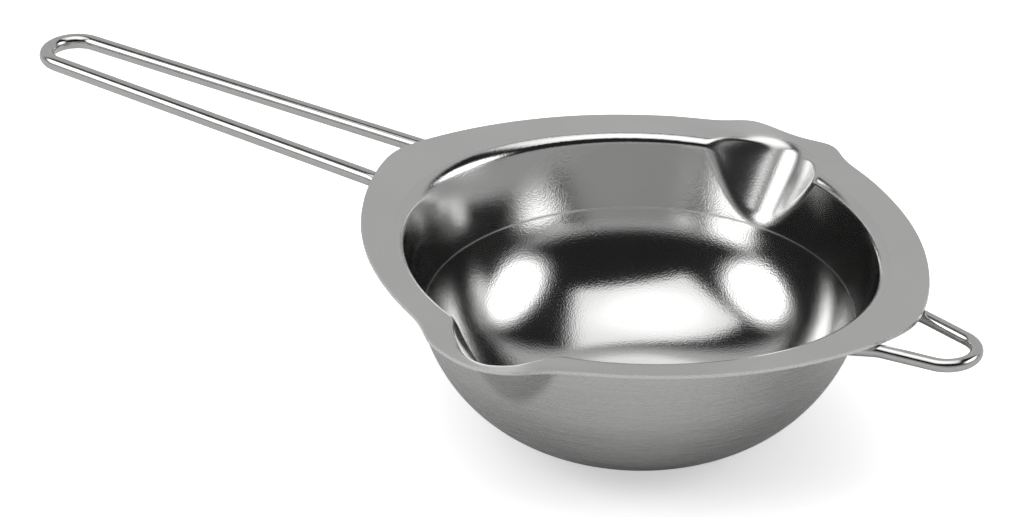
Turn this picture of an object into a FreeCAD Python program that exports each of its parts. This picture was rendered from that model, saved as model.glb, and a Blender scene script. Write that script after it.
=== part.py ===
import FreeCAD, Part
import math
import os

# Candle melting pot that hangs inside a saucepan: one pressed bowl with a flange and two pouring
# spouts, a long wire handle, a short wire rest hook, and the four welds that hold the wires.
# Millimetres. The origin is the centre of the bowl's flat bottom, +Z is up, the hook points to +X,
# the long handle to -X, and the spouts to -Y and +Y.

# Driving dimensions of the bowl
SHEET = 0.8                         # thickness of the pressed steel
RIM_HEIGHT = 47.6                   # from the flat bottom to the inner edge of the flange
OPENING_RADIUS = 59.5               # mean radius of the flange's inner edge
OPENING_STRETCH = 2.2               # the opening is longer towards the handle and the hook
OPENING_SQUARENESS = 0.95
STRETCH_FADE = 4                    # the wall is round again this power of the height below the rim
BASE_RADIUS = 18.0                  # flat bottom
BASE_ARC_STRETCH = 1.104            # height over width of the curve between bottom and wall
WALL_ANGLE = math.radians(74.6)     # slope of the wall
BEND_RADIUS = 3.3                   # upper face of the bend between wall and flange
FLANGE_ANGLE = math.radians(10.5)   # the flange rises outwards
FLANGE_RADIUS = 65.0                # outer edge between the ears and the spouts
HOOK_EAR = 10.9                     # how far the edge reaches out over the hook
HANDLE_EAR = 9.2                    # and over the handle
EAR_SPREAD = math.radians(55.0)
EAR_ROUNDING = math.radians(4.0)
EAR_POWER = 1.8                     # how fast an ear sinks away from its middle
SPOUT_LOBE = 5.3                    # extra width of the flange at a spout
LOBE_SPREAD = math.radians(13.7)
LOBE_POWER = 6                      # how square-shouldered the lobe is

# Driving dimensions of the spouts: a rounded channel pressed outwards and down through the bend,
# and a shallow dip of the flange in front of it
SPOUT_SLOPE = math.radians(49.0)    # slope of the channel's floor
SPOUT_DEPTH = 7.2                   # from the flange's inner edge down to the floor, at a right angle
SPOUT_HALF_WIDTH = 14.5             # at the flange's inner edge
LIP_DIP = 2.8                       # how far the flange's edge sinks at the spout
LIP_HALF_WIDTH = 14.0
LIP_RUN = 6.0                       # the dip grows to its full depth over this width of flange
SPOUT_FOLD = 1.3                    # softness of the fold around the channel
SPOUT_REACH = 27.0                  # the channel ends above this depth below the rim

# Driving dimensions of the wires, with x measured outwards from the bowl's axis
HANDLE_WIRE = 2.0                   # radius
HANDLE_REACH = 187.1                # centre of the wire at the far end
HANDLE_HALF_WIDTH = 10.5            # at the flange's edge
HANDLE_TAPER = 0.028                # how fast the legs close in
HOOK_WIRE = 1.6
HOOK_REACH = 92.6
HOOK_HALF_WIDTH = 9.9
HOOK_TAPER = 0.2
KNEE_X = 73.2                       # where a leg bends from the flange's slope to level
KNEE_RADIUS = 14.0
LEG_START_X = 65.0                  # cut end of a leg under the flange
LEG_DROP = 0.3                      # a level leg sinks this much to its far end
WELD_GAP = 0.12                     # between the wire and the flange, filled by the weld
WELD_X = 69.0
WELD_SIZE = (3.6, 2.2, 1.3)         # half length, half width, half height
WELD_CLEARANCE = 0.01               # keeps a weld's flat top off the slightly curved flange

COLUMNS = 160                       # around the bowl, closer together at the spouts
SPOUT_CROWDING = 0.6
ARC_ROWS = 18
WALL_ROWS = 16
BEND_ROWS = 7
FLANGE_ROWS = 8


def opening_radius(angle):
    """Radius of the flange's inner edge."""
    stretch = OPENING_STRETCH * math.cos(2 * angle)
    return OPENING_RADIUS + stretch + OPENING_SQUARENESS * math.cos(4 * angle)


def ear(offset):
    """Height of an ear of the flange, 1 at its middle and 0 past its spread."""
    softened = math.hypot(offset, EAR_ROUNDING) - EAR_ROUNDING
    return max(0.0, 1.0 - softened / EAR_SPREAD) ** EAR_POWER


def flange_edge(angle):
    """Radius of the flange's outer edge, before the spouts are pressed."""
    from_hook = abs(math.remainder(angle, 2 * math.pi))
    from_spout = abs(from_hook - math.pi / 2)
    lobe = SPOUT_LOBE / (1.0 + (from_spout / LOBE_SPREAD) ** LOBE_POWER)
    ears = HOOK_EAR * ear(from_hook) + HANDLE_EAR * ear(math.pi - from_hook)
    return FLANGE_RADIUS + ears + lobe


def base_profile(angle):
    """Upper face of the sheet at one angle, as (radius, height) from the flat bottom outwards."""
    wall_slope = math.tan(WALL_ANGLE)
    wall_top = OPENING_RADIUS + BEND_RADIUS * (math.sin(FLANGE_ANGLE) - math.sin(WALL_ANGLE))
    wall_top_z = RIM_HEIGHT - BEND_RADIUS * (math.cos(FLANGE_ANGLE) - math.cos(WALL_ANGLE))
    turn = math.atan(wall_slope / BASE_ARC_STRETCH)
    run = wall_top - BASE_RADIUS - (wall_top_z - SHEET) / wall_slope
    arc = run / (math.sin(turn) - BASE_ARC_STRETCH * (1.0 - math.cos(turn)) / wall_slope)

    points = []
    for row in range(ARC_ROWS):
        part_turn = turn * row / ARC_ROWS
        height = SHEET + arc * BASE_ARC_STRETCH * (1.0 - math.cos(part_turn))
        points.append((BASE_RADIUS + arc * math.sin(part_turn), height))
    arc_end = BASE_RADIUS + arc * math.sin(turn)
    arc_end_z = SHEET + arc * BASE_ARC_STRETCH * (1.0 - math.cos(turn))
    for row in range(WALL_ROWS):
        share = row / WALL_ROWS
        height = arc_end_z + share * (wall_top_z - arc_end_z)
        points.append((arc_end + share * (wall_top - arc_end), height))
    for row in range(BEND_ROWS):
        slope = WALL_ANGLE + (FLANGE_ANGLE - WALL_ANGLE) * row / BEND_ROWS
        radius = OPENING_RADIUS + BEND_RADIUS * (math.sin(FLANGE_ANGLE) - math.sin(slope))
        points.append((radius, RIM_HEIGHT - BEND_RADIUS * (math.cos(FLANGE_ANGLE) - math.cos(slope))))
    stretch = opening_radius(angle) - OPENING_RADIUS
    points = [(r + stretch * (z / RIM_HEIGHT) ** STRETCH_FADE, z) for r, z in points]
    width = flange_edge(angle) - opening_radius(angle)
    for row in range(FLANGE_ROWS + 1):
        out = width * row / FLANGE_ROWS
        points.append((opening_radius(angle) + out, RIM_HEIGHT + out * math.tan(FLANGE_ANGLE)))
    return points


def channel_depth(sideways):
    """Depth of a spout's channel below the flange's inner edge, at a distance from its middle."""
    return SPOUT_DEPTH * (1.0 - (sideways / SPOUT_HALF_WIDTH) ** 2)


def press_spout(radius, height, angle):
    """Moves one point of the sheet outwards and down where it lies above a spout's channel."""
    if height < RIM_HEIGHT - SPOUT_REACH:
        return radius, height
    sideways = radius * math.cos(angle)
    out = radius - opening_radius(angle)
    share = min(1.0, max(0.0, out / LIP_RUN))
    height -= LIP_DIP * share ** 2 * (3.0 - 2.0 * share) * math.exp(-(sideways / LIP_HALF_WIDTH) ** 2)
    depth = out * math.sin(SPOUT_SLOPE) - (height - RIM_HEIGHT) * math.cos(SPOUT_SLOPE)
    gap = channel_depth(sideways) - depth
    overlap = max(0.0, SPOUT_FOLD - abs(gap))
    push = max(0.0, gap) + overlap ** 2 / (4.0 * SPOUT_FOLD)
    return radius + push * math.sin(SPOUT_SLOPE), height - push * math.cos(SPOUT_SLOPE)


def column(angle):
    """Upper face of the finished sheet at one angle, as vectors."""
    points = []
    for radius, height in base_profile(angle):
        r, z = press_spout(radius, height, angle)
        points.append(FreeCAD.Vector(r * math.cos(angle), r * math.sin(angle), z))
    return points


def sheet_grids():
    """Point grids of the sheet's upper and lower faces."""
    angles = []
    for index in range(COLUMNS):
        even = 2 * math.pi * index / COLUMNS
        angles.append(even + SPOUT_CROWDING / 2 * math.sin(2 * even))
    upper = [column(angle) for angle in angles]
    lower = []
    for index, points in enumerate(upper):
        before = upper[index - 1]
        after = upper[(index + 1) % COLUMNS]
        low = []
        for row, point in enumerate(points):
            inner = points[max(row - 1, 0)]
            outer = points[min(row + 1, len(points) - 1)]
            normal = (outer - inner).cross(after[row] - before[row]).normalize()
            if row == 0:
                normal = FreeCAD.Vector(0, 0, 1)
            low.append(point - normal * SHEET)
        lower.append(low)
    return upper, lower


def smooth_surface(grid):
    """A surface through a grid of points, closed around the bowl and smooth everywhere."""
    around = list(range(len(grid) + 1))
    outwards = [0.0]
    for before, after in zip(grid[0], grid[0][1:]):
        outwards.append(outwards[-1] + before.distanceToPoint(after))
    rings = []
    for row in range(len(grid[0])):
        ring = Part.BSplineCurve()
        ring.interpolate(Points=[points[row] for points in grid], PeriodicFlag=True, Parameters=around)
        rings.append(ring)
    poles = []
    for index in range(rings[0].NbPoles):
        rib = Part.BSplineCurve()
        rib.interpolate(Points=[ring.getPole(index + 1) for ring in rings], Parameters=outwards)
        poles.append(rib.getPoles())
    surface = Part.BSplineSurface()
    surface.buildFromPolesMultsKnots(
        poles, ring.getMultiplicities(), rib.getMultiplicities(),
        ring.getKnots(), rib.getKnots(), True, False, ring.Degree, rib.Degree)
    return surface


def make_bowl():
    """The pressed bowl: two smooth faces, two flat discs and the cut edge of the sheet."""
    faces = []
    rims = []
    for grid in sheet_grids():
        surface = smooth_surface(grid)
        first, last = surface.bounds()[2:]
        faces.append(surface.toShape())
        faces.append(Part.Face(Part.Wire(surface.vIso(first).toShape())))
        rims.append(surface.vIso(last).toShape())
    faces.append(Part.makeRuledSurface(rims[0], rims[1]))
    shell = Part.Compound(faces)
    shell.sewShape()
    return Part.Solid(shell.Shells[0])


def flange_underside(x, y):
    """Height of the flange's lower face above a point."""
    out = math.hypot(x, y) - opening_radius(math.atan2(y, x))
    return RIM_HEIGHT + out * math.tan(FLANGE_ANGLE) - SHEET / math.cos(FLANGE_ANGLE)


def leg_height(x, y, wire_radius):
    """Height of a wire's centre where it lies under the flange."""
    return flange_underside(x, y) - (wire_radius + WELD_GAP) / math.cos(FLANGE_ANGLE)


def leg_half_width(x, half_width, taper):
    """Distance of a leg from the middle plane."""
    return half_width - taper * (x - KNEE_X)


def leg_points(wire_radius, reach, half_width, taper, side):
    """Cut end, knee and far tangent point of one leg, and the radius of the loop's end."""
    lean = math.atan(taper)
    centre_x = (reach - math.cos(lean) * (half_width + taper * KNEE_X)) / (1.0 - taper * math.cos(lean))
    end_radius = reach - centre_x
    start_y = leg_half_width(LEG_START_X, half_width, taper)
    start = FreeCAD.Vector(LEG_START_X, side * start_y, leg_height(LEG_START_X, start_y, wire_radius))
    knee = FreeCAD.Vector(KNEE_X, side * half_width, leg_height(KNEE_X, half_width, wire_radius))
    far_z = knee.z - LEG_DROP
    tangent_x = centre_x + end_radius * math.sin(lean)
    far = FreeCAD.Vector(tangent_x, side * end_radius * math.cos(lean), far_z)
    return start, knee, far


def rounded_leg(start, knee, far):
    """Edges of one leg from its cut end to the loop, with an arc at the knee."""
    inward = (start - knee).normalize()
    outward = (far - knee).normalize()
    half_angle = (math.pi - inward.getAngle(outward)) / 2.0
    setback = KNEE_RADIUS * math.tan(half_angle)
    bisector = (inward + outward).normalize()
    arc_start = knee + inward * setback
    arc_end = knee + outward * setback
    arc_middle = knee + bisector * (KNEE_RADIUS / math.cos(half_angle) - KNEE_RADIUS)
    first = Part.LineSegment(start, arc_start).toShape()
    bend = Part.Arc(arc_start, arc_middle, arc_end).toShape()
    last = Part.LineSegment(arc_end, far).toShape()
    return [first, bend, last]


def make_wire_loop(wire_radius, reach, half_width, taper):
    """A round wire bent to a long loop, pointing to +X, with both cut ends under the flange."""
    near = leg_points(wire_radius, reach, half_width, taper, -1)
    back = leg_points(wire_radius, reach, half_width, taper, 1)
    apex = FreeCAD.Vector(reach, 0, near[2].z)
    edges = rounded_leg(*near)
    edges.append(Part.Arc(near[2], apex, back[2]).toShape())
    edges.extend(edge.reversed() for edge in reversed(rounded_leg(*back)))
    path = Part.Wire(Part.__sortEdges__(edges))
    along = near[1] - near[0]
    section = Part.Wire(Part.makeCircle(wire_radius, near[0], along))
    return path.makePipeShell([section], True, False)


def make_weld(wire_radius, half_width, taper, side, loop):
    """A weld between a leg and the flange: the metal that fills the corner between them."""
    stretch = FreeCAD.Matrix()
    stretch.scale(*WELD_SIZE)
    bead = Part.makeSphere(1.0).transformGeometry(stretch)
    length, width, height = WELD_SIZE
    corner = FreeCAD.Vector(-length, -width, -height)
    bead = bead.common(Part.makeBox(2 * length, 2 * width, height + WELD_GAP - WELD_CLEARANCE, corner))
    y = leg_half_width(WELD_X, half_width, taper)
    origin = FreeCAD.Vector(0, 0, 0)
    bead.rotate(origin, FreeCAD.Vector(0, 1, 0), -math.degrees(FLANGE_ANGLE))
    bead.rotate(origin, FreeCAD.Vector(0, 0, 1), -side * math.degrees(math.atan(taper)))
    bead.translate(FreeCAD.Vector(WELD_X, side * y, leg_height(WELD_X, y, wire_radius) + wire_radius))
    return bead.cut(loop)


def half_turn(shape):
    """The shape turned to the other side of the bowl's axis."""
    return shape.rotated(FreeCAD.Vector(0, 0, 0), FreeCAD.Vector(0, 0, 1), 180)


def make_parts():
    """Every sub-part by name."""
    parts = {"bowl": make_bowl()}
    handle = make_wire_loop(HANDLE_WIRE, HANDLE_REACH, HANDLE_HALF_WIDTH, HANDLE_TAPER)
    hook = make_wire_loop(HOOK_WIRE, HOOK_REACH, HOOK_HALF_WIDTH, HOOK_TAPER)
    parts["long_handle"] = half_turn(handle)
    parts["rest_hook"] = hook
    for side, name in ((1, "front"), (-1, "back")):
        weld = make_weld(HANDLE_WIRE, HANDLE_HALF_WIDTH, HANDLE_TAPER, side, handle)
        parts["handle_weld_" + name] = half_turn(weld)
    for side, name in ((-1, "front"), (1, "back")):
        parts["hook_weld_" + name] = make_weld(HOOK_WIRE, HOOK_HALF_WIDTH, HOOK_TAPER, side, hook)
    return parts


os.makedirs("parts", exist_ok=True)
for name, shape in make_parts().items():
    solids = shape.Solids
    print(name, shape.ShapeType, "solids", len(solids), "valid", shape.isValid(),
          "volume", round(shape.Volume, 2), "closed", all(s.isClosed() for s in shape.Shells))
    solids[0].exportStep("parts/" + name + ".step")
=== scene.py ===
# %% [markdown]
# # A candle melting pot
# A small stainless steel bowl for melting wax over hot water. It hangs inside a saucepan: a long wire
# handle rests on one side of the pan's rim and a short wire hook on the other. The bowl, its flange and
# its two pouring spouts are pressed from one sheet. The imported CAD model is loaded and set in the
# world frame, and every piece made here is placed in that frame, in metres.

# %% Load the frame
import bpy
import bmesh
import math
from mathutils import Matrix, Vector


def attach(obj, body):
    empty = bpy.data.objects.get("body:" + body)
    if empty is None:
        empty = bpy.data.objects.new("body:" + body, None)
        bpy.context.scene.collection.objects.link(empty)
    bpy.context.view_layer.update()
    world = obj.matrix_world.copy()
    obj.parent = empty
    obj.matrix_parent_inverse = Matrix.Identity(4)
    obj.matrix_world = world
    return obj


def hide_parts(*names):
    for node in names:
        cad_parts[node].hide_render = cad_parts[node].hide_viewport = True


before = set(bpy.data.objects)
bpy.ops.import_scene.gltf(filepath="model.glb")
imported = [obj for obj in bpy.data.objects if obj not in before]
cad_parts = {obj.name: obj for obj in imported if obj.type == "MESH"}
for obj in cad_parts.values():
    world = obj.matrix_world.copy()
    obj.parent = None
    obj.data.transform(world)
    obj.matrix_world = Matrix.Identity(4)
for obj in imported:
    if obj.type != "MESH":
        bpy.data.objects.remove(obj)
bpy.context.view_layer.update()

MM = 0.001
SMOOTH_BELOW = math.radians(50)

# %% [markdown]
# ## Helpers for working as by hand
# An operator acts on everything that is selected, so each new piece starts from nothing selected, and
# edges and faces are then picked in code by their place.

# %% Selection helpers
def clear_selection():
    """Leaves edit mode with nothing selected."""
    if bpy.context.mode != "OBJECT":
        bpy.ops.object.mode_set(mode="OBJECT")
    bpy.ops.object.select_all(action="DESELECT")


def start_piece(name):
    """Names the new primitive and opens it for editing."""
    piece = bpy.context.active_object
    piece.name = name
    piece.data.name = name
    bpy.ops.object.mode_set(mode="EDIT")
    return piece


def apply_place(piece):
    """Puts the piece's place in its mesh, with its object at the origin."""
    clear_selection()
    piece.select_set(True)
    bpy.context.view_layer.objects.active = piece
    bpy.ops.object.transform_apply(location=True, rotation=True, scale=True)


def apply_modifier(piece, kind, **settings):
    """Adds a modifier with its settings and applies it."""
    clear_selection()
    piece.select_set(True)
    bpy.context.view_layer.objects.active = piece
    modifier = piece.modifiers.new(kind.title(), kind)
    for key, value in settings.items():
        setattr(modifier, key, value)
    bpy.ops.object.modifier_apply(modifier=modifier.name)


def report(piece):
    """Prints a finished piece's size in millimetres and its number of faces."""
    size = [round(x / MM, 1) for x in piece.dimensions]
    print(piece.name, "size in mm", size, "faces", len(piece.data.polygons))


# %% [markdown]
# ## The bowl: a lathed sheet
# A press draws the bowl from a flat disc, so its section is a flat bottom, one long curve, a short
# sloping wall, a tight bend and a flange that rises a little outwards. The section could be drawn as a
# curve and spun, or grown ring by ring from a circle. Growing it ring by ring keeps every ring's
# radius and height at hand for the pressing that follows, so it is done that way.

# %% The bowl's measurements
SHEET = 0.8 * MM
RIM_HEIGHT = 47.6 * MM
OPENING_RADIUS = 59.5 * MM
OPENING_STRETCH = 2.2 * MM
OPENING_SQUARENESS = 0.95 * MM
STRETCH_FADE = 4
BASE_RADIUS = 18.0 * MM
BASE_ARC_STRETCH = 1.104
WALL_ANGLE = math.radians(74.6)
BEND_RADIUS = 3.3 * MM
FLANGE_ANGLE = math.radians(10.5)
FLANGE_RADIUS = 65.0 * MM
COLUMNS = 320
ARC_ROWS = 40
WALL_ROWS = 32
BEND_ROWS = 12
FLANGE_ROWS = 14


def section():
    """The lathed section as (radius, height) pairs up to the flange's inner edge."""
    wall_slope = math.tan(WALL_ANGLE)
    wall_top = OPENING_RADIUS + BEND_RADIUS * (math.sin(FLANGE_ANGLE) - math.sin(WALL_ANGLE))
    wall_top_z = RIM_HEIGHT - BEND_RADIUS * (math.cos(FLANGE_ANGLE) - math.cos(WALL_ANGLE))
    turn = math.atan(wall_slope / BASE_ARC_STRETCH)
    run = wall_top - BASE_RADIUS - (wall_top_z - SHEET) / wall_slope
    arc = run / (math.sin(turn) - BASE_ARC_STRETCH * (1 - math.cos(turn)) / wall_slope)
    rings = []
    for row in range(ARC_ROWS + 1):
        bend = turn * row / ARC_ROWS
        height = SHEET + arc * BASE_ARC_STRETCH * (1 - math.cos(bend))
        rings.append((BASE_RADIUS + arc * math.sin(bend), height))
    start, start_z = rings[-1]
    for row in range(1, WALL_ROWS):
        share = row / WALL_ROWS
        rings.append((start + share * (wall_top - start), start_z + share * (wall_top_z - start_z)))
    for row in range(BEND_ROWS + 1):
        slope = WALL_ANGLE + (FLANGE_ANGLE - WALL_ANGLE) * row / BEND_ROWS
        radius = OPENING_RADIUS + BEND_RADIUS * (math.sin(FLANGE_ANGLE) - math.sin(slope))
        rings.append((radius, RIM_HEIGHT - BEND_RADIUS * (math.cos(FLANGE_ANGLE) - math.cos(slope))))
    for row in range(1, FLANGE_ROWS + 1):
        out = (FLANGE_RADIUS - OPENING_RADIUS) * row / FLANGE_ROWS
        rings.append((OPENING_RADIUS + out, RIM_HEIGHT + out * math.tan(FLANGE_ANGLE)))
    return rings


rings = section()
print("rings in the section", len(rings))

# %% Grow the bowl ring by ring
clear_selection()
bpy.ops.mesh.primitive_circle_add(
    vertices=COLUMNS, radius=rings[0][0], fill_type="NOTHING", location=(0, 0, rings[0][1]))
bowl = start_piece("melting_bowl")
bpy.ops.mesh.select_all(action="SELECT")
for (radius, height), (next_radius, next_height) in zip(rings, rings[1:]):
    rise = next_height - height
    growth = next_radius / radius
    bpy.ops.mesh.extrude_region_move(TRANSFORM_OT_translate={"value": (0, 0, rise)})
    bpy.ops.transform.resize(value=(growth, growth, 1), center_override=(0, 0, 0))
apply_place(bowl)
report(bowl)

# %% [markdown]
# ## Pressing the ears, the oval opening and the spouts
# The press also pulls the flange out to an ear over each wire, makes the opening slightly oval, and
# pushes a rounded channel through the bend on each side for pouring, with a shallow dip of the flange in
# front of it. No single operator gives such soft forms, so each point of the lathed sheet is moved by a
# short rule instead, as if by the die.

# %% The die's measurements
HOOK_EAR = 10.9 * MM
HANDLE_EAR = 9.2 * MM
EAR_SPREAD = math.radians(55)
EAR_ROUNDING = math.radians(4)
SPOUT_LOBE = 5.3 * MM
LOBE_SPREAD = math.radians(13.7)
SPOUT_SLOPE = math.radians(49)
SPOUT_DEPTH = 7.2 * MM
SPOUT_HALF_WIDTH = 14.5 * MM
LIP_DIP = 2.8 * MM
LIP_HALF_WIDTH = 14.0 * MM
LIP_RUN = 6.0 * MM
SPOUT_FOLD = 1.3 * MM
SPOUT_REACH = 27.0 * MM
SPOUT_CROWDING = 0.6
POLISH_START = 0.25 * MM
POLISH_FADE = 0.15 * MM
CHANNEL_POLISH = 0.62
EAR_POWER = 1.8
LOBE_POWER = 6


# %% The die as a rule for one point
def opening_radius(angle):
    """Radius of the flange's inner edge."""
    stretch = OPENING_STRETCH * math.cos(2 * angle)
    return OPENING_RADIUS + stretch + OPENING_SQUARENESS * math.cos(4 * angle)


def ear(offset):
    """1 at the middle of an ear and 0 past its spread."""
    softened = math.hypot(offset, EAR_ROUNDING) - EAR_ROUNDING
    return max(0.0, 1 - softened / EAR_SPREAD) ** EAR_POWER


def flange_edge(angle):
    """Radius of the flange's outer edge."""
    from_hook = abs(math.remainder(angle, 2 * math.pi))
    from_spout = abs(from_hook - math.pi / 2)
    lobe = SPOUT_LOBE / (1 + (from_spout / LOBE_SPREAD) ** LOBE_POWER)
    return FLANGE_RADIUS + HOOK_EAR * ear(from_hook) + HANDLE_EAR * ear(math.pi - from_hook) + lobe


def channel_depth(sideways):
    """Depth of a spout's channel at a distance from its middle."""
    return SPOUT_DEPTH * (1 - (sideways / SPOUT_HALF_WIDTH) ** 2)


def pressed(point):
    """Where the die moves a point of the lathed sheet, and how deep it is pushed below the flange."""
    even = math.atan2(point.y, point.x)
    angle = even + SPOUT_CROWDING / 2 * math.sin(2 * even)
    radius, height = math.hypot(point.x, point.y), point.z
    opening = opening_radius(angle)
    out = radius - OPENING_RADIUS
    if out > 0:
        out *= (flange_edge(angle) - opening) / (FLANGE_RADIUS - OPENING_RADIUS)
        radius = opening + out
        height = RIM_HEIGHT + out * math.tan(FLANGE_ANGLE)
    else:
        radius += (opening - OPENING_RADIUS) * (height / RIM_HEIGHT) ** STRETCH_FADE
    sunk = 0.0
    if height > RIM_HEIGHT - SPOUT_REACH:
        sideways = radius * math.cos(angle)
        share = min(1.0, max(0.0, (radius - opening) / LIP_RUN))
        dip = LIP_DIP * share ** 2 * (3 - 2 * share) * math.exp(-(sideways / LIP_HALF_WIDTH) ** 2)
        height -= dip
        depth = (radius - opening) * math.sin(SPOUT_SLOPE) - (height - RIM_HEIGHT) * math.cos(SPOUT_SLOPE)
        gap = channel_depth(sideways) - depth
        overlap = max(0.0, SPOUT_FOLD - abs(gap))
        sunk = max(0.0, gap) + overlap ** 2 / (4 * SPOUT_FOLD)
        radius += sunk * math.sin(SPOUT_SLOPE)
        height -= sunk * math.cos(SPOUT_SLOPE)
    return Vector((radius * math.cos(angle), radius * math.sin(angle), height)), out, sunk


for place_name, angle in (("hook", 0), ("spout", math.pi / 2), ("handle", math.pi)):
    print("flange edge at the", place_name, round(flange_edge(angle) / MM, 1), "mm")

# %% [markdown]
# ## Pressing, and remembering where the sheet was
# Finishes are easier to place while the sheet is still a plain lathed grid. So two values are stored on each
# point as it is pressed: how polished it gets, and how far along the section it lies. Painting masks by hand
# would do the same, but not as evenly.

# %% Press the sheet
def length_to(ring):
    """Length along the section from the flat bottom's edge to a ring."""
    return sum(math.dist(a, b) for a, b in zip(rings[:ring], rings[1:ring + 1]))


polish = bowl.data.attributes.new("polish", "FLOAT", "POINT")
along = bowl.data.attributes.new("along", "FLOAT", "POINT")
lengths = [BASE_RADIUS + length_to(ring) for ring in range(len(rings))]
for index, vertex in enumerate(bowl.data.vertices):
    vertex.co, out, sunk = pressed(vertex.co)
    in_channel = min(1.0, sunk / POLISH_START)
    inside = min(1.0, -out / POLISH_FADE) * (1 - in_channel)
    polish.data[index].value = max(in_channel * CHANNEL_POLISH, inside)
    along.data[index].value = lengths[index // COLUMNS] / MM
bowl.data.update()
report(bowl)

# %% [markdown]
# ## From a skin to a sheet of steel
# The skin still has a hole where the flat bottom belongs. Filling it with one large face would work, but a
# face with hundreds of corners shades badly, so it is inset twice and poked to a fan. Solidify then
# gives the skin its thickness downwards, and puts the underside and the cut edge on finishes of their own.
# It can only do so when the mesh already has places for three materials.

# %% Close the bottom
BOTTOM_INSET = 0.35 * BASE_RADIUS
WITHIN_BOTTOM = 0.99 * BASE_RADIUS
AROUND_BOTTOM = 1.01 * BASE_RADIUS
clear_selection()
bowl.select_set(True)
bpy.context.view_layer.objects.active = bowl
bpy.ops.object.mode_set(mode="EDIT")
bpy.ops.mesh.select_all(action="DESELECT")
edit = bmesh.from_edit_mesh(bowl.data)
for edge in edit.edges:
    middle = (edge.verts[0].co + edge.verts[1].co) / 2
    if edge.is_boundary and middle.xy.length < AROUND_BOTTOM:
        edge.select_set(True)
bmesh.update_edit_mesh(bowl.data)
bpy.ops.mesh.edge_face_add()
bpy.ops.mesh.inset(thickness=BOTTOM_INSET)
bpy.ops.mesh.inset(thickness=BOTTOM_INSET)
bpy.ops.mesh.poke()
bpy.ops.mesh.select_all(action="SELECT")
bpy.ops.mesh.normals_make_consistent(inside=False)
bpy.ops.object.mode_set(mode="OBJECT")
bottom = min(bowl.data.polygons, key=lambda face: face.center.z)
print("bottom faces up", bottom.normal.z > 0)
if bottom.normal.z < 0:
    bowl.data.flip_normals()
print("faces in the flat bottom", sum(f.center.xy.length < BASE_RADIUS for f in bowl.data.polygons))
for index, vertex in enumerate(bowl.data.vertices):
    if vertex.co.xy.length < WITHIN_BOTTOM:
        bowl.data.attributes["polish"].data[index].value = 1.0
        bowl.data.attributes["along"].data[index].value = vertex.co.xy.length / MM

# %% Thicken the sheet
INSIDE, OUTSIDE, EDGE = range(3)
for side in (INSIDE, OUTSIDE, EDGE):
    bowl.data.materials.append(None)
apply_modifier(bowl, "SOLIDIFY", thickness=SHEET, offset=-1, use_even_offset=True,
               material_offset=OUTSIDE, material_offset_rim=EDGE)
bpy.ops.object.shade_smooth_by_angle(angle=SMOOTH_BELOW)
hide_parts("bowl")
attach(bowl, "root")
report(bowl)

# %% [markdown]
# ## The two wires
# Each wire is one round rod bent to a long loop with both cut ends welded under the flange. It could be
# a curve with a round bevel. Here it is made as a bender makes it: a round section is pushed straight,
# turned about the knee, pushed on, turned about the loop's centre, and the same back again.

# %% The wires' measurements
HANDLE_WIRE = 2.0 * MM
HANDLE_REACH = 187.1 * MM
HANDLE_HALF_WIDTH = 10.5 * MM
HANDLE_TAPER = 0.028
HOOK_WIRE = 1.6 * MM
HOOK_REACH = 92.6 * MM
HOOK_HALF_WIDTH = 9.9 * MM
HOOK_TAPER = 0.2
KNEE_X = 73.2 * MM
KNEE_RADIUS = 14.0 * MM
LEG_START_X = 65.0 * MM
LEG_DROP = 0.3 * MM
WELD_GAP = 0.12 * MM
WIRE_SIDES = 32
KNEE_STEPS = 6
LOOP_STEPS = 40
MERGE_DISTANCE = 1e-6


def leg_height(x, y, wire_radius):
    """Height of a wire's centre where it lies under the flange."""
    out = math.hypot(x, y) - opening_radius(math.atan2(y, x))
    drop = (SHEET + wire_radius + WELD_GAP) / math.cos(FLANGE_ANGLE)
    return RIM_HEIGHT + out * math.tan(FLANGE_ANGLE) - drop


def push(start, end):
    """Extrudes the selected section straight on."""
    bpy.ops.mesh.extrude_region_move(TRANSFORM_OT_translate={"value": end - start})


def bend(steps, angle, centre, axis):
    """Extrudes the selected section around a centre."""
    bpy.ops.mesh.spin(steps=steps, angle=angle, center=centre, axis=axis)


print("handle leg's height", round(leg_height(KNEE_X, HANDLE_HALF_WIDTH, HANDLE_WIRE) / MM, 2), "mm")

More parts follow.
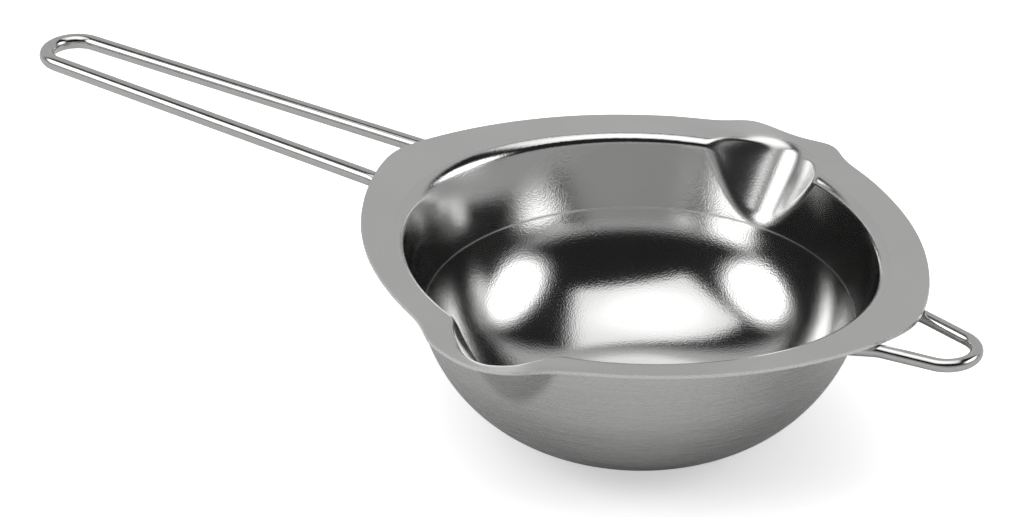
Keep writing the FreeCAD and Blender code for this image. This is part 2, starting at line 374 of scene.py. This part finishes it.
# %% Bend a wire
def bend_wire(name, wire_radius, reach, half_width, taper):
    """A wire loop that points to +X, with its legs closing in towards its far end."""
    lean = math.atan(taper)
    centre_x = (reach - math.cos(lean) * (half_width + taper * KNEE_X)) / (1 - taper * math.cos(lean))
    loop_radius = reach - centre_x
    start_y = half_width - taper * (LEG_START_X - KNEE_X)
    start = Vector((LEG_START_X, -start_y, leg_height(LEG_START_X, start_y, wire_radius)))
    knee = Vector((KNEE_X, -half_width, leg_height(KNEE_X, half_width, wire_radius)))
    far = Vector((centre_x + loop_radius * math.sin(lean), -loop_radius * math.cos(lean), knee.z - LEG_DROP))
    inward = (start - knee).normalized()
    outward = (far - knee).normalized()
    knee_turn = math.pi - inward.angle(outward)
    setback = KNEE_RADIUS * math.tan(knee_turn / 2)
    knee_start, knee_end = knee + inward * setback, knee + outward * setback
    knee_centre = knee + (inward + outward).normalized() * KNEE_RADIUS / math.cos(knee_turn / 2)
    knee_axis = inward.cross(outward).normalized()
    mirror = Vector((1, -1, 1))
    clear_selection()
    bpy.ops.mesh.primitive_circle_add(vertices=WIRE_SIDES, radius=wire_radius, fill_type="NOTHING")
    wire = start_piece(name)
    bpy.ops.object.mode_set(mode="OBJECT")
    along_leg = (-inward).to_track_quat("Z", "Y").to_matrix().to_4x4()
    wire.matrix_world = Matrix.Translation(start) @ along_leg
    apply_place(wire)
    bpy.ops.object.mode_set(mode="EDIT")
    bpy.ops.mesh.select_all(action="SELECT")
    push(start, knee_start)
    bend(KNEE_STEPS, knee_turn, knee_centre, knee_axis)
    push(knee_end, far)
    bend(LOOP_STEPS, 2 * lean - math.pi, (centre_x, 0, far.z), (0, 0, 1))
    push(far * mirror, knee_end * mirror)
    bend(KNEE_STEPS, -knee_turn, knee_centre * mirror, knee_axis * mirror * -1)
    push(knee_start * mirror, start * mirror)
    return wire


# %% Close and place a wire
def finish_wire(wire, node):
    """Closes both cut ends, smooths the wire, hides the CAD wire it stands in for and attaches it to the
    root.
    """
    bpy.ops.mesh.select_all(action="SELECT")
    bpy.ops.mesh.remove_doubles(threshold=MERGE_DISTANCE)
    bpy.ops.mesh.select_all(action="DESELECT")
    bpy.ops.mesh.select_non_manifold()
    bpy.ops.mesh.edge_face_add()
    bpy.ops.mesh.select_all(action="SELECT")
    bpy.ops.mesh.normals_make_consistent(inside=False)
    clear_selection()
    wire.select_set(True)
    bpy.ops.object.shade_smooth_by_angle(angle=SMOOTH_BELOW)
    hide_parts(node)
    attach(wire, "root")
    report(wire)


# %% The hook and the handle
hook_wire = bend_wire("hook_wire", HOOK_WIRE, HOOK_REACH, HOOK_HALF_WIDTH, HOOK_TAPER)
finish_wire(hook_wire, "rest_hook")
handle_wire = bend_wire("handle_wire", HANDLE_WIRE, HANDLE_REACH, HANDLE_HALF_WIDTH, HANDLE_TAPER)
bpy.ops.object.mode_set(mode="OBJECT")
handle_wire.rotation_euler.z = math.pi
apply_place(handle_wire)
bpy.ops.object.mode_set(mode="EDIT")
finish_wire(handle_wire, "long_handle")

# %% [markdown]
# ## Steel finishes
# Every piece is stainless steel, so the metal is the same and only the finish differs: how rough it is,
# what relief it has and how that varies. Nodes could be linked one by one in the editor. Here one small
# helper adds a node with its settings and links, so that each finish reads as a short recipe.

# %% Material helpers
def steel_colour(hex_value):
    """An sRGB hex colour as the linear colour that a shader works in."""
    linear = []
    for shift in (16, 8, 0):
        share = (hex_value >> shift & 255) / 255
        linear.append(share / 12.92 if share <= 0.04045 else ((share + 0.055) / 1.055) ** 2.4)
    return (*linear, 1.0)


def add_node(material, kind, links=None, **settings):
    """Adds a node, sets its values by socket name or property, and links its inputs."""
    tree = material.node_tree
    node = tree.nodes.new(kind)
    for key, value in settings.items():
        if key in node.inputs:
            node.inputs[key].default_value = value
        else:
            setattr(node, key, value)
    for name, source in (links or {}).items():
        tree.links.new(source, node.inputs[name])
    return node


def new_finish(name):
    """A new metal with its Principled shader."""
    material = bpy.data.materials.new(name)
    material.use_nodes = True
    shader = material.node_tree.nodes["Principled BSDF"]
    shader.inputs["Metallic"].default_value = 1.0
    return material, shader


def share_of(size):
    """A noise scale from the size of its grain in metres."""
    return 1 / size


print("plain steel grey in linear light", [round(x, 3) for x in steel_colour(0xC8C8C7)])

# %% [markdown]
# ## Polished inside, satin flange
# The real pot is buffed to a mirror inside with a soft wheel, while its flange and the outer half of each
# spout only get a fine satin. Two materials with a hard seam would be simple, but the wheel leaves no seam.
# So this is one steel, and the polish attribute that was stored while pressing mixes the two finishes.

# %% Buffed and satin stainless
SATIN_ROUGHNESS = {"To Min": 0.30, "To Max": 0.42}
MIRROR_ROUGHNESS = {"To Min": 0.09, "To Max": 0.13}
MARK_ROUGHNESS = 0.38
GRIT_SIZE = 0.42 * MM
GRIT_HEIGHT = 0.024 * MM
CLOUD_SIZE = 22 * MM
DRAW_MARK = lengths[ARC_ROWS] / MM

# Polished stainless mirrors the lamps with grainy edges, satin stainless spreads them to an even grey.
buffed, buffed_shader = new_finish("polished_and_satin_stainless")
place = add_node(buffed, "ShaderNodeTexCoord").outputs["Object"]
polish_share = add_node(buffed, "ShaderNodeAttribute", attribute_name="polish").outputs["Fac"]
# The real grit is far finer than this. It is drawn this coarse so that it shows.
grit = add_node(buffed, "ShaderNodeTexNoise", {"Vector": place}, Scale=share_of(GRIT_SIZE), Detail=2.0)
cloud = add_node(buffed, "ShaderNodeTexNoise", {"Vector": place}, Scale=share_of(CLOUD_SIZE), Detail=2.0)
satin = add_node(buffed, "ShaderNodeMapRange", {"Value": cloud.outputs["Fac"]},
                 **SATIN_ROUGHNESS)
mirror = add_node(buffed, "ShaderNodeMapRange", {"Value": cloud.outputs["Fac"]},
                  **MIRROR_ROUGHNESS)
finish_mix = add_node(buffed, "ShaderNodeMix",
                      {"Factor": polish_share, "A": satin.outputs["Result"], "B": mirror.outputs["Result"]},
                      data_type="FLOAT")
print("grit in mm", GRIT_SIZE / MM, "clouds in mm", CLOUD_SIZE / MM)

# %% The press's ring in the polish
# The press leaves a faint ring where the wall meets the curve of the bottom.
section_length = add_node(buffed, "ShaderNodeAttribute", attribute_name="along").outputs["Fac"]
from_mark = add_node(buffed, "ShaderNodeMath", {0: section_length}, operation="SUBTRACT")
from_mark.inputs[1].default_value = DRAW_MARK
off_mark = add_node(buffed, "ShaderNodeMath", {0: from_mark.outputs["Value"]}, operation="ABSOLUTE")
mark = add_node(buffed, "ShaderNodeMapRange", {"Value": off_mark.outputs["Value"]},
                **{"From Min": 0.45, "From Max": 0.1, "To Min": 0.0, "To Max": 0.7})
roughness = add_node(buffed, "ShaderNodeMix",
                     {"Factor": mark.outputs["Result"], "A": finish_mix.outputs["Result"]},
                     data_type="FLOAT", B=MARK_ROUGHNESS)
buffed.node_tree.links.new(roughness.outputs["Result"], buffed_shader.inputs["Roughness"])
print("ring at", round(DRAW_MARK, 1), "mm along the section")

# %% Tone and relief of the buffed steel
tone = add_node(buffed, "ShaderNodeMix", {"Factor": cloud.outputs["Fac"]}, data_type="RGBA")
tone.inputs["A"].default_value = steel_colour(0xCCCCCB)
tone.inputs["B"].default_value = steel_colour(0xD4D4D3)
buffed.node_tree.links.new(tone.outputs["Result"], buffed_shader.inputs["Base Color"])
bump = add_node(buffed, "ShaderNodeBump", {"Height": grit.outputs["Fac"]},
                Strength=1.0, Distance=GRIT_HEIGHT)
buffed.node_tree.links.new(bump.outputs["Normal"], buffed_shader.inputs["Normal"])
print(buffed.name, "nodes", len(buffed.node_tree.nodes))

# %% [markdown]
# ## Brushed outside
# The outside is brushed on the lathe after pressing, so its scratches run around the bowl. An anisotropic
# shader gives that sheen, but the exported model keeps little of it. Here a noise is stretched around the
# bowl instead: it varies fast along the section, whose length was stored as an attribute, and slowly along
# each ring.

# %% Lathe-brushed stainless
RING_SPREAD = 26 * MM
SCRATCH_WIDTH = 0.5
SCRATCH_HEIGHT = 0.012 * MM
BRUSHED_ROUGHNESS = {"From Min": 0.3, "From Max": 0.7, "To Min": 0.22, "To Max": 0.32}

# Brushed stainless is a darker, even grey with faint rings. Real scratches are finer than half a millimetre.
brushed, brushed_shader = new_finish("lathe_brushed_stainless")
place = add_node(brushed, "ShaderNodeTexCoord").outputs["Object"]
section_length = add_node(brushed, "ShaderNodeAttribute", attribute_name="along").outputs["Fac"]
spread = add_node(brushed, "ShaderNodeVectorMath", {0: place}, operation="SCALE", Scale=share_of(RING_SPREAD))
across = add_node(brushed, "ShaderNodeMath", {0: section_length}, operation="MULTIPLY")
across.inputs[1].default_value = 1 / SCRATCH_WIDTH
flat = add_node(brushed, "ShaderNodeSeparateXYZ", {"Vector": spread.outputs["Vector"]})
lines = add_node(brushed, "ShaderNodeCombineXYZ",
                 {"X": flat.outputs["X"], "Y": flat.outputs["Y"], "Z": across.outputs["Value"]})
scratches = add_node(brushed, "ShaderNodeTexNoise", {"Vector": lines.outputs["Vector"]},
                     Scale=1.0, Detail=3.0, Roughness=0.65)
rough = add_node(brushed, "ShaderNodeMapRange", {"Value": scratches.outputs["Fac"]},
                 **BRUSHED_ROUGHNESS)
brushed.node_tree.links.new(rough.outputs["Result"], brushed_shader.inputs["Roughness"])
shade = add_node(brushed, "ShaderNodeMix", {"Factor": scratches.outputs["Fac"]}, data_type="RGBA")
shade.inputs["A"].default_value = steel_colour(0xC0C0BF)
shade.inputs["B"].default_value = steel_colour(0xD4D4D3)
brushed.node_tree.links.new(shade.outputs["Result"], brushed_shader.inputs["Base Color"])
bump = add_node(brushed, "ShaderNodeBump", {"Height": scratches.outputs["Fac"]},
                Strength=1.0, Distance=SCRATCH_HEIGHT)
brushed.node_tree.links.new(bump.outputs["Normal"], brushed_shader.inputs["Normal"])
print(brushed.name, "nodes", len(brushed.node_tree.nodes))

# %% [markdown]
# ## Small finishes: the cut edge, the wires and the welds
# The trimmed edge of the sheet is bright with tiny nicks. The wires are drawn and then electropolished,
# which leaves them mirror-bright with a very slight waviness. The resistance welds are dull and slightly
# heat-tinted. All three are the same recipe, one noise that drives roughness, tone and bump, so one
# function makes them.

# %% A steel with one grain
def grained_steel(name, grain, low, high, dark, light, depth):
    """Stainless steel whose roughness, tone and relief follow one noise with a grain size in metres."""
    steel, shader = new_finish(name)
    place = add_node(steel, "ShaderNodeTexCoord").outputs["Object"]
    noise = add_node(steel, "ShaderNodeTexNoise", {"Vector": place}, Scale=share_of(grain), Detail=2.0)
    rough = add_node(steel, "ShaderNodeMapRange", {"Value": noise.outputs["Fac"]},
                     **{"From Min": 0.3, "From Max": 0.7, "To Min": low, "To Max": high})
    steel.node_tree.links.new(rough.outputs["Result"], shader.inputs["Roughness"])
    tone = add_node(steel, "ShaderNodeMix", {"Factor": noise.outputs["Fac"]}, data_type="RGBA")
    tone.inputs["A"].default_value = steel_colour(dark)
    tone.inputs["B"].default_value = steel_colour(light)
    steel.node_tree.links.new(tone.outputs["Result"], shader.inputs["Base Color"])
    bump = add_node(steel, "ShaderNodeBump", {"Height": noise.outputs["Fac"]},
                    Strength=1.0, Distance=depth)
    steel.node_tree.links.new(bump.outputs["Normal"], shader.inputs["Normal"])
    print(name, "nodes", len(steel.node_tree.nodes))
    return steel


# A trimmed edge is the brightest line on the pot.
trimmed = grained_steel("trimmed_stainless_edge", 1.5 * MM, 0.15, 0.35, 0xD8D8D7, 0xE6E6E5, 0.01 * MM)
# Electropolished wire shows long thin highlights that waver a little.
drawn = grained_steel("electropolished_stainless_wire", 2.4 * MM, 0.10, 0.17, 0xC2C1C0, 0xD0CFCE, 0.008 * MM)
# A weld is dull, warm grey and rough.
fused = grained_steel("heat_tinted_weld_steel", 0.8 * MM, 0.38, 0.60, 0x86827C, 0xA8A49E, 0.05 * MM)

# %% Give each piece its finish
for index, finish in ((INSIDE, buffed), (OUTSIDE, brushed), (EDGE, trimmed)):
    bowl.data.materials[index] = finish
    print(finish.name, "faces", sum(face.material_index == index for face in bowl.data.polygons))
for wire in (hook_wire, handle_wire):
    wire.data.materials.clear()
    wire.data.materials.append(drawn)
welds = [node for name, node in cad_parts.items() if "weld" in name]
for weld in welds:
    for place_in_list in weld.material_slots:
        place_in_list.material = fused
print("welds with a finish", len(welds))

# %% [markdown]
# ## A pale table
# A mirror finish shows whatever is around it, so the table matters as much as the lamps. A plain white
# plane lit only by the lamps would look grey near the pot. This one glows a little where it is seen
# directly, and is slightly darker in the steel's reflections, so that the table stays pale and the outside
# of the bowl keeps its depth.

# %% Table
TABLE_SIZE = 12
TABLE_GLOW = 0.5
bpy.ops.mesh.primitive_plane_add(size=TABLE_SIZE, location=(0, 0, 0))
floor = bpy.context.active_object
floor.name = "floor"
pale, pale_shader = new_finish("matt_white_table")
pale_shader.inputs["Metallic"].default_value = 0.0
pale_shader.inputs["Roughness"].default_value = 0.9
pale_shader.inputs["Specular IOR Level"].default_value = 0.0
mirrored = add_node(pale, "ShaderNodeLightPath").outputs["Is Glossy Ray"]
glow = add_node(pale, "ShaderNodeMapRange", {"Value": mirrored}, **{"To Min": TABLE_GLOW, "To Max": 0.0})
pale_shader.inputs["Emission Color"].default_value = steel_colour(0xFFFFFF)
pale.node_tree.links.new(glow.outputs["Result"], pale_shader.inputs["Emission Strength"])
table_tone = add_node(pale, "ShaderNodeMix", {"Factor": mirrored}, data_type="RGBA")
table_tone.inputs["A"].default_value = steel_colour(0xF6F6F6)
table_tone.inputs["B"].default_value = steel_colour(0xC4C4C4)
pale.node_tree.links.new(table_tone.outputs["Result"], pale_shader.inputs["Base Color"])
floor.data.materials.append(pale)
print("table", TABLE_SIZE, "m wide")

# %% [markdown]
# ## The camera
# A long lens from about a metre away keeps the pot's proportions calm, as in a catalogue. The camera could be
# aimed with a constraint. Here its turn and elevation are given as angles, and its place follows from them.

# %% Camera
TURN = math.radians(35.7628)
ELEVATION = math.radians(29.1044)
AIM = Vector((-0.0381, 0, 0.0308))
DISTANCE = 1.0538
TO_CAMERA = Vector((math.sin(TURN), -math.cos(TURN), 0))
TO_RIGHT = Vector((math.cos(TURN), math.sin(TURN), 0))
UP = Vector((0, 0, 1))
camera_data = bpy.data.cameras.new("camera")
camera = bpy.data.objects.new("camera", camera_data)
bpy.context.scene.collection.objects.link(camera)
bpy.context.scene.camera = camera
camera_data.sensor_width = 36
camera_data.lens = 149.44
camera.rotation_euler = (math.pi / 2 - ELEVATION, 0, TURN)
camera.location = AIM + DISTANCE * Vector(
    (math.sin(TURN) * math.cos(ELEVATION), -math.cos(TURN) * math.cos(ELEVATION), math.sin(ELEVATION)))
print("camera at", [round(x, 3) for x in camera.location])

# %% [markdown]
# ## Softboxes
# In polished steel a lamp is seen as a shape, so each softbox is modelled as one: bright in its middle,
# fading to its edge, square overhead and round at the sides. Three plain lamps would light the pot as
# well, but their reflections would have hard, even faces.

# %% A softbox
GLOW_START = 0.05
FACE_HALF = 0.5


def softbox(name, middle, width_axis, size, centre_glow, edge_glow, soft, is_round=False):
    """A softbox that faces the pot, brighter in its middle and soft at its edge."""
    width, height = size
    data = bpy.data.lights.new(name, "AREA")
    data.shape = "RECTANGLE"
    data.size = width
    data.size_y = height
    box = bpy.data.objects.new(name, data)
    bpy.context.scene.collection.objects.link(box)
    back = middle.normalized()
    side = (width_axis - back * width_axis.dot(back)).normalized()
    turn = Matrix((side, back.cross(side), back)).transposed()
    box.matrix_world = Matrix.Translation(middle) @ turn.to_4x4()
    box.visible_camera = False
    data.energy = math.pi * width * height
    data.use_nodes = True
    across = add_node(data, "ShaderNodeNewGeometry").outputs["Parametric"]
    centred = add_node(data, "ShaderNodeVectorMath", {0: across}, operation="SUBTRACT")
    centred.inputs[1].default_value = (FACE_HALF, FACE_HALF, 0)
    parts = add_node(data, "ShaderNodeSeparateXYZ", {"Vector": centred.outputs["Vector"]})
    masks = []
    soft_edge = {"From Min": FACE_HALF, "From Max": FACE_HALF - soft, "To Min": 0.0, "To Max": 1.0}
    for axis in ("X", "Y"):
        off = add_node(data, "ShaderNodeMath", {0: parts.outputs[axis]}, operation="ABSOLUTE")
        mask = add_node(data, "ShaderNodeMapRange", {"Value": off.outputs["Value"]},
                        interpolation_type="SMOOTHSTEP", **soft_edge)
        masks.append(mask.outputs["Result"])
    mask = add_node(data, "ShaderNodeMath", {0: masks[0], 1: masks[1]}, operation="MULTIPLY").outputs["Value"]
    radius = add_node(data, "ShaderNodeVectorMath", {0: centred.outputs["Vector"]}, operation="LENGTH")
    if is_round:
        mask = add_node(data, "ShaderNodeMapRange", {"Value": radius.outputs["Value"]},
                        interpolation_type="SMOOTHSTEP", **soft_edge).outputs["Result"]
    fading = {"From Min": GLOW_START, "From Max": FACE_HALF, "To Min": centre_glow, "To Max": edge_glow}
    glow = add_node(data, "ShaderNodeMapRange", {"Value": radius.outputs["Value"]},
                    interpolation_type="SMOOTHSTEP", **fading)
    level = add_node(data, "ShaderNodeMath", {0: mask, 1: glow.outputs["Result"]}, operation="MULTIPLY")
    emission = data.node_tree.nodes["Emission"]
    data.node_tree.links.new(level.outputs["Value"], emission.inputs["Strength"])
    print(name, "softbox", size, "m at", [round(x, 2) for x in middle])
    return box


def at(azimuth, elevation, distance):
    """A point at an azimuth to the camera's right and an elevation."""
    a, e = math.radians(azimuth), math.radians(elevation)
    flat = TO_CAMERA * math.cos(a) + TO_RIGHT * math.sin(a)
    return (flat * math.cos(e) + UP * math.sin(e)) * distance


print("two metres to the camera's right", [round(x, 2) for x in at(90, 0, 2.0)])

# %% Place the softboxes
OVERHEAD_SKEW = math.radians(-16)
BOX_DISTANCE = 2.0
over_axis = TO_RIGHT * math.cos(OVERHEAD_SKEW) + TO_CAMERA * math.sin(OVERHEAD_SKEW)
over_middle = UP * BOX_DISTANCE - TO_RIGHT * 0.24 + TO_CAMERA * 0.32
over = softbox("overhead", over_middle, over_axis, (2.7, 2.2), 1.9, 1.2, 0.1)
level_turn = Matrix((over_axis, UP.cross(over_axis), UP)).transposed()
over.matrix_world = Matrix.Translation(over_middle) @ level_turn.to_4x4()
softbox("left", at(-84, 31.5, BOX_DISTANCE), UP, (1.5, 2.2), 3.6, 1.9, 0.3, True)
softbox("right", at(85, 30, BOX_DISTANCE), UP, (1.3, 2.25), 3.6, 1.9, 0.3, True)

# %% A fill light for the table
FILL_SIZE = 5
FILL_HEIGHT = 3
FILL_WATTS = 60
fill_data = bpy.data.lights.new("fill", "AREA")
fill_data.shape = "SQUARE"
fill_data.size = FILL_SIZE
fill_data.energy = FILL_WATTS
fill = bpy.data.objects.new("fill", fill_data)
bpy.context.scene.collection.objects.link(fill)
fill.location = (0, 0, FILL_HEIGHT)
fill.visible_camera = False
fill.visible_glossy = False
print("fill", FILL_WATTS, "W")

# %% [markdown]
# ## The room around
# The flange and the back of the bowl mirror the room, not the lamps. A picture of a studio would give
# that, but a plain one is enough: a dark room with a grey wall behind the pot and a low grey horizon. The
# camera itself sees a white backdrop.

# %% Room
ROOM_DARK = 0.02
WALL = {"From Min": 0.35, "From Max": 0.5, "To Min": ROOM_DARK, "To Max": 0.56}
HORIZON = {"From Min": math.sin(math.radians(18)), "From Max": math.sin(math.radians(14)),
           "To Min": 0.0, "To Max": 0.42}
BACKDROP = 0.9
world = bpy.data.worlds.new("studio")
bpy.context.scene.world = world
world.use_nodes = True
ray = add_node(world, "ShaderNodeTexCoord").outputs["Generated"]
behind = add_node(world, "ShaderNodeVectorMath", {0: ray}, operation="DOT_PRODUCT")
behind.inputs[1].default_value = -TO_CAMERA
wall = add_node(world, "ShaderNodeMapRange", {"Value": behind.outputs["Value"]},
                interpolation_type="SMOOTHSTEP", **WALL)
up = add_node(world, "ShaderNodeSeparateXYZ", {"Vector": ray}).outputs["Z"]
horizon = add_node(world, "ShaderNodeMapRange", {"Value": up}, interpolation_type="SMOOTHSTEP", **HORIZON)
room = add_node(world, "ShaderNodeMath", {0: wall.outputs["Result"], 1: horizon.outputs["Result"]},
                operation="MAXIMUM")
seen = add_node(world, "ShaderNodeLightPath").outputs["Is Camera Ray"]
shown = add_node(world, "ShaderNodeMix", {"Factor": seen, "A": room.outputs["Value"]},
                 data_type="FLOAT", B=BACKDROP)
background = world.node_tree.nodes["Background"]
world.node_tree.links.new(shown.outputs["Result"], background.inputs["Color"])
bpy.context.scene.view_settings.view_transform = "Standard"
print("room nodes", len(world.node_tree.nodes))
